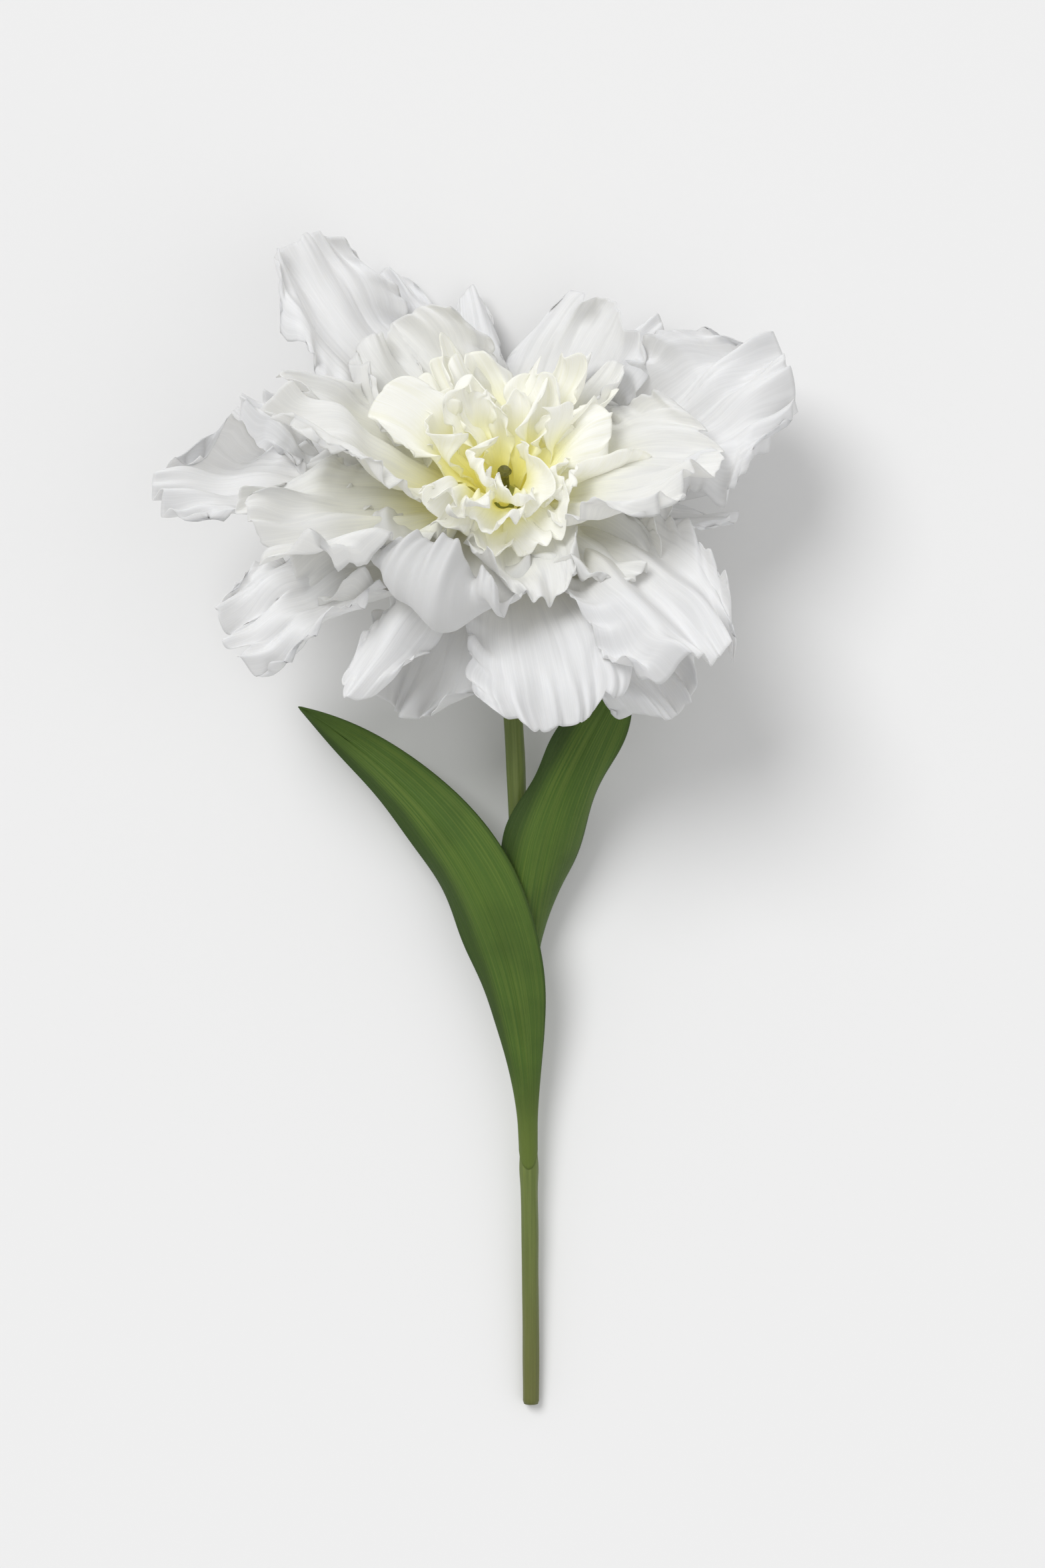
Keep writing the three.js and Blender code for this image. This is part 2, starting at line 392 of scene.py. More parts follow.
@dataclass(frozen=True)
class FleshFinish:
    """Soft mottled plant tissue at the heart of the flower."""

    name: str
    colour: Colour
    shade: Colour

    def material(self) -> bpy.types.Material:
        """Makes it.

        Returns:
            The tissue's material.
        """
        sh = Shader(self.name)
        cloud = sh.noise(420.0, 4.0)
        sh.dress(Base_Color=sh.blend(cloud.ease(0.35, 0.7), self.colour, self.shade))
        sh.dress(Roughness=0.5 + 0.15 * cloud)
        sh.bump(cloud, 0.0004, 0.6)
        return sh.material


@dataclass(frozen=True)
class FloorFinish:
    """A plain matt floor."""

    colour: Colour = (0.86, 0.86, 0.86)

    def material(self) -> bpy.types.Material:
        """Makes it.

        Returns:
            The floor's material.
        """
        sh = Shader("floor_matt")
        sh.dress(Base_Color=self.colour, Roughness=0.95, Specular_IOR_Level=0.0)
        return sh.material


# --- meshes


class Body:
    """Closed meshes made from grids of points, in millimetres in the frame."""

    @staticmethod
    def _make(name: str, points: Array, faces: list[tuple[int, ...]], marks: Marks,
              finish: bpy.types.Material, node: str, slot: str) -> None:
        """Makes an object, stores its marks and ties it to the frame.

        Args:
            name: what it is called.
            points: its corners.
            faces: the numbers of each face's corners.
            marks: numbers stored at each corner, by name.
            finish: its material.
            node: the node of the frame that it replaces.
            slot: not used.
        """
        mesh = bpy.data.meshes.new(name)
        mesh.from_pydata((points * MM).tolist(), [], faces)
        for key, values in marks.items():
            layer = mesh.attributes.new(key, "FLOAT", "POINT")
            layer.data.foreach_set("value", np.ascontiguousarray(values, np.float32))
        mesh.shade_smooth()
        mesh.materials.append(finish)
        mesh.validate()
        made = bpy.data.objects.new(name, mesh)
        bpy.context.collection.objects.link(made)
        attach(made, "root")
        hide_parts(node)
        LOG.info("%s: %d faces", name, len(mesh.polygons))

    @classmethod
    def sheet(cls, points: Array, thickness: Array, marks: Marks, **names: Any) -> None:
        """A thin closed sheet.

        Args:
            points: grid of the middle surface.
            thickness: its thickness at each grid point.
            marks: numbers stored at each grid point, by name.
            names: name, finish, node and slot.
        """
        rows, columns = points.shape[:2]
        offset = grid_normals(points) * thickness[..., None] / 2
        both = np.concatenate([(points + offset).reshape(-1, 3), (points - offset).reshape(-1, 3)])
        count = rows * columns
        index = np.arange(count).reshape(rows, columns)
        a, b, c, d = index[:-1, :-1], index[1:, :-1], index[1:, 1:], index[:-1, 1:]
        front = np.stack([a, b, c, d], -1).reshape(-1, 4)
        back = front[:, ::-1] + count
        rim = np.concatenate([index[0, :], index[1:, -1], index[-1, -2::-1], index[-2:0:-1, 0]])
        after = np.roll(rim, -1)
        edge = np.stack([rim, after, after + count, rim + count], -1)
        faces = np.concatenate([front, back, edge])
        doubled = {key: np.tile(value.ravel(), 2) for key, value in marks.items()}
        cls._make(points=both, faces=faces.tolist(), marks=doubled, **names)

    @classmethod
    def tube(cls, rings: Array, marks: Marks, **names: Any) -> None:
        """A closed solid of rings of points, its two ends closed by fans.

        Args:
            rings: grid of points, one row to a ring.
            marks: numbers stored at each grid point, by name.
            names: name, finish, node and slot.
        """
        rows, columns = rings.shape[:2]
        count = rows * columns
        ends = np.stack([rings[0].mean(0), rings[-1].mean(0)])
        index = np.arange(count).reshape(rows, columns)
        ahead = np.roll(index, -1, axis=1)
        side = np.stack([index[:-1], ahead[:-1], ahead[1:], index[1:]], -1).reshape(-1, 4).tolist()
        first = [(count, int(q), int(p)) for p, q in zip(index[0], ahead[0])]
        last = [(count + 1, int(p), int(q)) for p, q in zip(index[-1], ahead[-1])]
        stored = {
            key: np.concatenate([value.ravel(), [value[0, 0], value[-1, 0]]]) for key, value in marks.items()
        }
        every = np.concatenate([rings.reshape(-1, 3), ends])
        cls._make(points=every, faces=side + first + last, marks=stored, **names)


# --- stem and leaves


def bezier(points: Array, share: Array) -> Array:
    """A cubic curve from the first of four points to the last.

    Args:
        points: the four.
        share: where to read it, 0 to 1.

    Returns:
        The point at every share.
    """
    t = np.asarray(share, float)[..., None]
    a, b, c, d = points
    return (1 - t) ** 3 * a + 3 * (1 - t) ** 2 * t * b + 3 * (1 - t) * t**2 * c + t**3 * d


class Path:
    """A line in space that is read by share of its length."""

    def __init__(self, *curves: Array) -> None:
        """Joins cubic curves end to end.

        Args:
            curves: four points each.
        """
        share = np.linspace(0.0, 1.0, 400)
        dense = np.concatenate([bezier(curve, share) for curve in curves])
        step = np.linalg.norm(np.diff(dense, axis=0), axis=1)
        keep = np.concatenate([[True], step > 1e-9])
        self.points = dense[keep]
        self.reach = np.concatenate([[0.0], np.cumsum(step[step > 1e-9])])
        self.length = float(self.reach[-1])

    def at(self, share: Array) -> Array:
        """Points at shares of the length."""
        where = np.asarray(share, float) * self.length
        return np.stack([np.interp(where, self.reach, self.points[:, i]) for i in range(3)], -1)

    def heading(self, share: Array) -> Array:
        """Unit directions at shares of the length."""
        share = np.asarray(share, float)
        return unit(self.at(np.minimum(share + 0.004, 1.0)) - self.at(np.maximum(share - 0.004, 0.0)))

    @staticmethod
    def sides(heading: Array) -> tuple[Array, Array]:
        """Two directions square to headings that run with the stem.

        Args:
            heading: the headings.

        Returns:
            The direction towards +X, and the one out of the stem's top.
        """
        side = np.zeros_like(heading)
        side[..., 0] = 1.0
        side = unit(side - heading * (side * heading).sum(-1, keepdims=True))
        return side, np.cross(side, heading)


@dataclass
class Stem:
    """The bare stem, bent up at the neck below the flower.

    origin and axis are those of the receptacle. sway is how far the cut end stands off to +X. The neck
    starts to bend up at neck_height, neck_reach short of the flower, which stands at flower_height.
    nodes are the places along it where leaves grow, and it swells there.
    """

    origin: Array
    axis: Array
    cut_radius: float = 3.1
    neck_radius: float = 3.8
    length: float = 339.0
    sway: float = 10.0
    neck_height: float = 24.0
    neck_reach: float = 30.0
    flower_height: float = 40.0
    clearance: float = 0.3
    nodes: tuple[float, ...] = (91.0, 150.0)
    node_swell: float = 0.35
    node_reach: float = 5.0
    rings: int = 260
    sides: int = 40
    path: Path = field(init=False)

    def __post_init__(self) -> None:
        """Lays the stem's centre line from the cut end to the receptacle."""
        top = -self.clearance * self.axis
        base = np.array([0.0, 0.0, -self.flower_height])
        cut = base + np.array([self.sway, -self.length, self.cut_radius])
        lean = self.sway / self.length * self.neck_reach
        neck = base + np.array([lean, -self.neck_reach, self.neck_height])
        rise = neck - cut
        level = unit(rise * np.array([0.0, 1.0, 1.0]))
        third = cut + rise * 2 / 3 + np.array([self.sway / 4, 0.0, 0.0])
        straight = np.stack([cut, cut + level * np.linalg.norm(rise) / 3, third, neck])
        tangent = unit(neck - third)
        handle = np.linalg.norm(top - neck) * 0.42
        bend = np.stack([neck, neck + tangent * handle, top - self.axis * handle, top])
        self.path = Path(straight + self.origin, bend + self.origin)

    def radius(self, share: Array) -> Array:
        """The stem's radius at shares of its length from the cut end."""
        return mix(self.cut_radius, self.neck_radius, share)

    def build(self, finish: bpy.types.Material) -> None:
        """Makes the stem.

        Args:
            finish: its material.
        """
        share = np.linspace(0.0, 1.0, self.rings)
        turn = np.linspace(0.0, math.tau, self.sides, endpoint=False)
        along, around = np.meshgrid(share, turn, indexing="ij")
        radius = self.radius(along)
        for node in self.nodes:
            beyond = (along * self.path.length - node) / self.node_reach
            radius += self.node_swell * np.exp(-(beyond**2))
        radius += 0.1 * swell(along * 6, around / math.tau, 3, 2.0)
        radius -= 0.06 * np.cos(around * 9 + 3 * np.sin(along * 7))
        radius *= 1 - 0.12 * (1 - smooth(along * self.path.length, 0.0, 1.0))
        side, up = Path.sides(self.path.heading(share))
        rings = self.path.at(share)[:, None] + radius[..., None] * (
            np.cos(around)[..., None] * side[:, None] + np.sin(around)[..., None] * up[:, None]
        )
        marks = {"along": along, "across": np.abs(around / math.pi - 1)}
        Body.tube(rings[:, ::-1], marks, name="stem_skin", finish=finish, node="stem", slot="stem")


@dataclass
class Leaf:
    """A long leaf that clasps the stem with its foot and rolls along its length.

    node is its place along the stem. Its middle line runs from there by handle and bend to tip. curl is
    the radius that its blade is curled to, and roll the turn of its back at foot and tip. sheath is half
    the angle that its foot wraps round the stem, wave the height of the waves at its edges, midrib the
    depth of its groove, point how sharp its end is, and full where it has opened to its full width.
    """

    name: str
    node: float
    handle: float
    bend: tuple[float, float, float]
    tip: tuple[float, float, float]
    width: float
    curl: float
    roll: tuple[float, float]
    seed: int
    sheath: float = 78.0
    thickness: float = 1.0
    wave: float = 1.3
    midrib: float = 0.45
    point: float = 0.8
    full: float = 0.55
    rows: int = 170
    columns: int = 44

    def build(self, stem: Stem, finish: bpy.types.Material) -> None:
        """Makes the leaf, with its foot round the stem.

        Args:
            stem: what it grows from.
            finish: its material.
        """
        share = self.node / stem.path.length
        foot, heading = stem.path.at(share), stem.path.heading(share)
        line = Path(np.stack([foot, foot + heading * self.handle, foot + self.bend, foot + self.tip]))
        inner = float(stem.radius(share)) + stem.clearance / 2 + self.thickness / 4
        wrap = math.radians(self.sheath) * inner
        along, across = grid(self.rows, self.columns)
        curl = mix(inner, self.curl, smooth(along, 0.04, 0.45))
        widening = mix(wrap, self.width / 2, smooth(along, 0.06, self.full))
        taper = np.maximum(1 - np.maximum((along - 0.4) / 0.6, 0) ** 2.0, 0) ** self.point
        half = widening * taper * (1 + 0.03 * ripple(along, self.seed, 2.0))
        side, up = Path.sides(line.heading(along[:, 0]))
        side, up = side[:, None], up[:, None]
        back = np.radians(mix(self.roll[0], self.roll[1], smooth(along, 0.0, 0.7)))
        turn = across * half / curl - back
        edge = np.abs(across) ** 3 * smooth(along, 0.25, 0.5)
        sign = np.where(across > 0, 1, 0)
        wave = mix(ripple(along, self.seed + 7, 2.4), ripple(along, self.seed, 2.2), sign)
        bulge = 0.5 * swell(along * 3, across, self.seed, 1.0) * smooth(along, 0.2, 0.5)
        groove = self.midrib * np.exp(-((across / 0.07) ** 2)) * smooth(along, 0.1, 0.3)
        reach = curl + self.wave * edge * wave + bulge - groove
        crown = (inner - curl)[..., None]
        scoop = 0.035 * across**2 * (1 - along) ** 6
        points = line.at(along + scoop) + crown * (
            np.cos(back)[..., None] * up - np.sin(back)[..., None] * side
        )
        points += reach[..., None] * (np.sin(turn)[..., None] * side + np.cos(turn)[..., None] * up)
        rim = np.maximum(np.abs(across), smooth(along, 0.97, 1.0))
        thickness = self.thickness * (1 - 0.6 * rim**4) * (0.2 + 0.8 * smooth(along, 0.0, 0.05))
        marks = {"along": along, "across": across, "rim": rim}
        names = {"name": f"{self.name}_blade", "finish": finish, "node": self.name, "slot": "leaf"}
        Body.sheet(points, thickness, marks, **names)


# --- flower


class WhorlName(Enum):
    """The three whorls of petals, from the outside in."""

    OUTER = "outer"
    MIDDLE = "middle"
    INNER = "inner"


@dataclass
class Heart:
    """The receptacle that the petals grow from and the pistil on top of it.

    tilt is the lean of the flower's axis from the vertical, towards +Y.
    """

    tilt: float = 38.0
    height: float = 12.0
    foot_radius: float = 6.6
    top_radius: float = 4.6
    stem_radius: float = 3.8
    clearance: float = 0.3
    pistil_height: float = 12.5
    pistil_radius: float = 1.9
    stigma_radius: float = 2.7
    rings: int = 60
    sides: int = 48
    origin: Array = field(init=False)

    def __post_init__(self) -> None:
        """Finds the foot of the receptacle from its box in the frame."""
        tilt = math.radians(self.tilt)
        low, high = (np.array(corner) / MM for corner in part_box("receptacle"))
        rings = self.outline()
        down_y = min(h * math.sin(tilt) - r * math.cos(tilt) for r, h in rings)
        down_z = min(h * math.cos(tilt) - r * math.sin(tilt) for r, h in rings)
        self.origin = np.array([(low[0] + high[0]) / 2, low[1] - down_y, low[2] - down_z])

    @property
    def axis(self) -> Array:
        """The flower's axis."""
        tilt = math.radians(self.tilt)
        return np.array([0.0, math.sin(tilt), math.cos(tilt)])

    def place(self, points: Array) -> Array:
        """Turns the flower's own points into points of the frame.

        Args:
            points: points with the flower's axis as Z.

        Returns:
            The points in the frame.
        """
        tilt = math.radians(self.tilt)
        x, y, z = points[..., 0], points[..., 1], points[..., 2]
        turned = [x, y * math.cos(tilt) + z * math.sin(tilt), z * math.cos(tilt) - y * math.sin(tilt)]
        return np.stack(turned, -1) + self.origin

    def radius(self, seat: float) -> float:
        """The receptacle's radius at a seat, 1 at its foot and 0 at its top."""
        return mix(self.top_radius, self.foot_radius, seat)

    def outline(self) -> Outline:
        """Radius and height of the receptacle, from its foot up."""
        return [
            (self.stem_radius, 0.0),
            (self.foot_radius, self.height * 0.12),
            (self.radius(0.5), self.height * 0.5),
            (self.top_radius, self.height * 0.92),
            (self.top_radius * 0.8, self.height),
        ]

    def _turned(self, node: str, finish: bpy.types.Material, outline: Outline, lift: float,
                ribs: int) -> None:
        """A smooth ribbed solid turned round the axis.

        Args:
            node: the node of the frame that it replaces.
            finish: its material.
            outline: radius and height of its outline, from its foot up.
            lift: how far its foot stands up the axis.
            ribs: how many ribs it has.
        """
        radius, height = np.array(outline).T
        knots = np.linspace(0.0, 1.0, len(radius))
        share = np.linspace(0.0, 1.0, self.rings)
        around = np.linspace(0.0, math.tau, self.sides, endpoint=False)
        rib = 0.05 * np.cos(ribs * around) * np.sin(share * math.pi)[:, None]
        reach = np.interp(share, knots, radius)[:, None] * (1 + rib)
        tall = np.interp(share, knots, height)[:, None] + lift + 0 * around
        rings = np.stack([reach * np.cos(around), reach * np.sin(around), tall], -1)
        along = share[:, None] + 0 * around
        names = {"name": f"{node}_flesh", "finish": finish, "node": node, "slot": node}
        Body.tube(self.place(rings), {"along": along}, **names)

    def build(self, receptacle: bpy.types.Material, pistil: bpy.types.Material) -> None:
        """Makes the receptacle and the pistil.

        Args:
            receptacle: the receptacle's material.
            pistil: the pistil's.
        """
        self._turned("receptacle", receptacle, self.outline(), 0.0, 12)
        tall, wide = self.pistil_height, self.stigma_radius
        outline = [
            (self.pistil_radius * 0.8, 0.0),
            (self.pistil_radius, tall * 0.3),
            (self.pistil_radius * 0.85, tall * 0.75),
            (wide, tall * 0.88),
            (wide * 0.7, tall),
            (0.3, tall * 0.94),
        ]
        self._turned("pistil", pistil, outline, self.height + self.clearance, 3)


@dataclass
class Petal:
    """One frilled petal.

    turn is its place round the axis, seat its place on the receptacle, opens its angle to the axis at
    its foot and its tip, hood how far its end bends in and cup how far its edges rise. frill is the
    height of the waves at its rim, fold that of its broad lengthwise folds, pleat that of its narrow
    ones and notch the depth of the cuts between the lobes of its rim. cleft is the depth of a cut in
    its end as a share of its length. twist is the angle that its end is turned by, hook the angle that
    its tip is bent in by, and lean how far its tip swings round the axis as a share of its length. parts
    is how many tongues its end is split into, and part how far they stand apart. spread is its flat
    width over the width of its solid, claw its width at its foot, fullest the share of its length where
    it is widest, and painted_shade how far the whole petal is greyed, painted shade for a petal that
    lies in shade.
    """

    turn: float
    seat: float
    opens: tuple[float, float]
    length: float
    width: float
    hood: float = 0.0
    cup: float = 0.1
    frill: float = 4.2
    fold: float = 2.8
    pleat: float = 1.0
    notch: float = 2.6
    cleft: float = 0.0
    twist: float = 0.0
    hook: float = 0.0
    lean: float = 0.0
    parts: int = 1
    part: float = 2.5
    spread: float = 1.2
    claw: float = 3.2
    fullest: float = 0.64
    # Painted shade: how far the whole petal is greyed, for a petal that lies in shade.
    painted_shade: float = 0.0

    def profile(self, heart: Heart, share: Array) -> tuple[Array, Array, Array]:
        """The petal's middle line.

        Args:
            heart: what the petal grows from.
            share: where to read it, as shares of its length.

        Returns:
            Its radius, height and slope there.
        """
        steps = 140
        middle = (np.arange(int(steps * 1.2)) + 0.5) / steps
        start, end = self.opens
        bent = self.hood * smooth(middle, 0.6, 1.0) + self.hook * smooth(middle, 0.72, 1.05)
        angle = np.radians(mix(start, end, middle) - bent)
        step = self.length / steps
        first = heart.radius(self.seat) + heart.clearance + 0.8
        radius = first + np.concatenate([[0.0], np.cumsum(np.sin(angle))]) * step
        height = (1 - self.seat) * heart.height + np.concatenate([[0.0], np.cumsum(np.cos(angle))]) * step
        knots = np.arange(len(radius)) / steps
        return (
            np.interp(share, knots, radius),
            np.interp(share, knots, height),
            np.interp(share, middle, angle),
        )

    def half_width(self, share: Array) -> Array:
        """Half the petal's width.

        Args:
            share: where to read it, as shares of its length.

        Returns:
            The half width there.
        """
        widening = np.sin(math.pi / 2 * np.clip(share / self.fullest, 0.0, 1.0)) ** 1.4
        flare = mix(self.claw, self.width * self.spread, widening) / 2
        beyond = np.maximum(share - self.fullest, 0) / (1.1 - self.fullest)
        return flare * np.sqrt(np.maximum(1 - beyond**2.8, 0))

    def outline(self, along: Array, across: Array, seed: int) -> tuple[Array, Array]:
        """The petal's flat shape, with its lobed rim.

        Args:
            along: how far up the petal each grid point is, 0 to 1.
            across: how far across it, -1 to 1.
            seed: which rim it has.

        Returns:
            The share of its length and the half width at every grid point.
        """
        wide = self.width * self.spread
        side = np.abs(across)
        place = across / 2 + 0.5
        late = smooth(along, 0.4, 1.0)
        cuts = (1 - lobes(place, seed, wide / 13.0)) * (0.55 + 0.45 * ripple(place, seed + 1, wide / 30.0))
        cuts = cuts + 0.7 * (0.5 + 0.5 * ripple(place, seed + 2, wide / 24.0))
        lost, _ = self.tongues(across, seed)
        share = along * (1 - 0.13 * side**3 - (self.notch / self.length * cuts + lost) * late)
        right = smooth(across, -0.3, 0.3)
        run = self.length / 15.0
        edge = mix(lobes(along, seed + 3, run), lobes(along, seed + 4, run), right)
        rag = mix(ripple(along, seed + 5, 2.0), ripple(along, seed + 6, 2.0), right)
        reach = self.half_width(along) * (1 + 0.07 * rag * side**2 * smooth(along, 0.15, 0.5))
        return share, reach - 0.85 * self.notch * (1 - edge) * side**3 * smooth(along, 0.3, 0.6)

    def tongues(self, across: Array, seed: int) -> tuple[Array, Array]:
        """The tongues that the petal's end is split into.

        Args:
            across: how far across the petal each grid point is, -1 to 1.
            seed: which cuts it has.

        Returns:
            The share of length lost to the cuts, and how far the tongues stand off.
        """
        pick = np.random.RandomState(seed + 900)
        edges = np.linspace(-1.0, 1.0, self.parts + 1)[1:-1]
        lost, lift = np.zeros_like(across), np.zeros_like(across)
        for edge in edges:
            offset = across - edge - 0.5 / self.parts * pick.uniform(-1.0, 1.0)
            lost += self.cleft * pick.uniform(0.6, 1.3) * np.exp(-(np.abs(offset / 0.07) ** 1.3))
            step = self.part * pick.uniform(0.5, 1.5) * pick.choice([-1.0, 1.0])
            lift += step * np.tanh(offset / 0.1)
        return lost, lift

    def relief(self, along: Array, across: Array, half: Array, seed: int) -> Array:
        """The petal's frills, folds and pleats.

        Args:
            along: how far up the petal each grid point is, 0 to 1.
            across: how far across it, -1 to 1.
            half: half its width there.
            seed: which frills it has.

        Returns:
            How far each grid point stands off the plain curve, towards the axis.
        """
        wide = self.width * self.spread
        size = (wide / 50.0) ** 0.6
        place = across / 2 + 0.5
        side = np.abs(across)
        right = smooth(across, -0.3, 0.3)
        rim_side = side**2.5 * smooth(along, 0.08, 0.4)
        rim_tip = smooth(along, 0.55, 1.0) ** 1.5
        run = self.length / 40.0
        wave_side = mix(ripple(along, seed + 7, run), ripple(along, seed + 8, run), right)
        wave_tip = ripple(place + 0.05 * ripple(along, seed, 1.0), seed + 9, wide / 34.0)
        lift = self.cup * half * across**2
        lift += self.frill * size * (rim_side * wave_side + rim_tip * wave_tip)
        swirl = swell(along * self.length / 60.0, place * wide / 60.0, seed + 18, 2.2)
        lift += 0.38 * self.frill * size * swirl * smooth(along, 0.25, 0.8)
        fine_side = mix(ripple(along, seed + 10, 2.4 * run), ripple(along, seed + 11, 2.4 * run), right)
        fine_tip = ripple(place, seed + 12, wide / 11.5)
        crimp_side = mix(ripple(along, seed + 21, 5 * run), ripple(along, seed + 22, 5 * run), right)
        crimp_tip = ripple(place, seed + 23, wide / 7.0)
        lift += 0.3 * self.frill * size * (rim_side**4 * crimp_side + rim_tip**4 * crimp_tip)
        lift += 0.6 * self.frill * size * (rim_side**2 * fine_side + rim_tip**2 * fine_tip)
        drift = place + 0.04 * ripple(along, seed + 13, 0.8)
        lift += self.fold * size * ripple(drift, seed + 14, wide / 26.0) * smooth(along, 0.05, 0.55)
        ridges = lobes(drift, seed + 15, wide / 9.5) * (0.65 + 0.35 * ripple(drift, seed + 16, wide / 20.0))
        veins = lobes(drift, seed + 19, wide / 4.6) * (0.5 + 0.5 * ripple(drift, seed + 20, wide / 15.0))
        lift += self.pleat * (ridges + 0.28 * veins) * smooth(along, 0.02, 0.35) * (1 - 0.3 * side)
        lift += 0.055 * self.length * swell(along, place, seed + 17, 0.9) * smooth(along, 0.12, 0.7)
        lift += self.tongues(across, seed)[1] * smooth(along, 0.3, 0.9)
        twisted = np.tan(np.radians(self.twist * along**1.5))
        return lift + across * half * twisted

    def surface(self, heart: Heart, rows: int, columns: int, seed: int) -> tuple[Array, Array, Marks]:
        """The petal's middle surface.

        Args:
            heart: what the petal grows from.
            rows: grid points along the petal.
            columns: grid points across it.
            seed: which frills it has.

        Returns:
            The grid of points, the thickness there and the numbers stored there.
        """
        along, across = grid(rows, columns)
        share, half = self.outline(along, across, seed)
        radius, height, slope = self.profile(heart, share)
        lift = self.relief(along, across, half, seed)
        swing = across * half + self.lean * self.length * along**2
        turn = math.radians(self.turn) + swing / np.maximum(radius, radius[0, 0])
        reach = radius - lift * np.cos(slope)
        points = np.stack([reach * np.cos(turn), reach * np.sin(turn), height + lift * np.sin(slope)], -1)
        edge = np.maximum(np.abs(across), smooth(along, 0.9, 1.0) * along)
        thickness = mix(1.0, 0.5, smooth(along, 0.0, 0.4)) * (1 - 0.45 * edge**6)
        marks = {"along": along, "across": across, "rim": edge}
        # Painted shade: every point stores how far the petal is greyed because it lies in shade.
        marks |= {"seed": np.full_like(along, (seed % 97) / 97), "painted_shade": np.full_like(along, self.painted_shade)}
        return heart.place(points), thickness, marks


@dataclass
class SplitPetal(Petal):
    """A small crumpled petal of the middle, split at its end into tongues."""

    cup: float = 0.14
    frill: float = 4.4
    fold: float = 3.2
    pleat: float = 0.6
    notch: float = 1.8
    parts: int = 2
    part: float = 4.0
    cleft: float = 0.17
    spread: float = 1.45
    fullest: float = 0.88


# Steps between the seeds of neighbouring petals and whorls.
PETAL_STEP = 37
WHORL_STEP = 1009


@dataclass
class Whorl:
    """One ring of petals of the same kind.

    rows and columns are the fineness of their grids, and crumple is how strong their accidents of growth
    are. A petal that would go below rest is eased to stay lift or more over the floor.
    """

    name: WhorlName
    petals: list[Petal]
    rows: int
    columns: int
    crumple: float
    rest: float = 1.6
    lift: float = 0.2

    @staticmethod
    def favour(turn: float) -> float:
        """How well a petal at this turn has grown: 1 at the left front, -1 at the right rear."""
        return math.cos(math.radians(turn - 205.0))

    def grown(self, petal: Petal, seed: int) -> Petal:
        """A petal with its own accidents of growth.

        Args:
            petal: its row of the table.
            seed: which accidents it had.

        Returns:
            The petal as it grew.
        """
        pick = np.random.RandomState(seed + 500)
        twist, hook, lean, length, cup, turn, opening, wide = pick.uniform(-1.0, 1.0, 8) * self.crumple
        luck = 0.14 * self.crumple * self.favour(petal.turn)
        # The number before each draw is the most that growth changes that measure by.
        return replace(
            petal,
            twist=petal.twist + 50 * twist,
            hook=petal.hook + 15 * self.crumple + 60 * hook,
            lean=petal.lean + 0.26 * lean,
            length=petal.length * (1.04 + 0.2 * length + luck),
            cup=petal.cup + 0.2 * cup,
            turn=petal.turn + 13 * turn,
            opens=(petal.opens[0] + 5 * opening, petal.opens[1] + 9 * opening),
            width=petal.width * (1 + 0.3 * wide),
        )

    def build(self, heart: Heart, finish: bpy.types.Material) -> None:
        """Makes every petal.

        Args:
            heart: what the petals grow from.
            finish: their material.
        """
        for number, petal in enumerate(self.petals, 1):
            node = f"petal_{self.name.value}_{number:02d}"
            seed = number * PETAL_STEP + WHORL_STEP * list(WhorlName).index(self.name)
            grown = self.grown(petal, seed)
            points, thickness, marks = grown.surface(heart, self.rows, self.columns, seed)
            low = points[..., 2]
            eased = self.rest * np.exp(np.minimum(low - self.rest, 0) / self.rest / 2) + self.lift
            points[..., 2] = np.where(low < self.rest, eased, low)
            names = {"name": f"{node}_blade", "node": node, "slot": f"petal_{self.name.value}"}
            Body.sheet(points, thickness, marks, finish=finish, **names)


LEAVES = [
    Leaf("leaf_left", 91, 66, (-2, 126, 36), (-87, 175, -2), 35, 24, (0, 24), 11, point=0.9),
    Leaf("leaf_right", 150, 34, (1, 70, 11), (37, 128, 33), 34, 16, (-44, 4), 23, point=0.45, full=0.36),
]


def ring(count: int, first: float, seat: float, opens: tuple[float, float], length: float, width: float,
         **looks: float) -> list[Petal]:
    """A ring of the small petals of the middle.

    Args:
        count: how many petals it has.
        first: the turn of the first.
        seat: their place on the receptacle.
        opens: the angles to the axis at the foot and the tip of a petal at the rear.
        length: the length of a petal at the rear.
        width: their width.
        looks: what else is the same for all of them.

    Returns:
        The petals. Those at the front open wider and are shorter.
    """
    wider, shorter = (14, 24), 12
    petals = []
    for place in range(count):
        turn = first + 360 * place / count
        rearward = math.sin(math.radians(turn))
        front = max(0.0, -rearward)
        opening = (opens[0] + wider[0] * front, opens[1] + wider[1] * front)
        reach = length - shorter * (1 - rearward) / 2
        petals.append(SplitPetal(turn, seat, opening, reach, width, parts=(2, 2, 1, 3)[place % 4], **looks))
    return petals
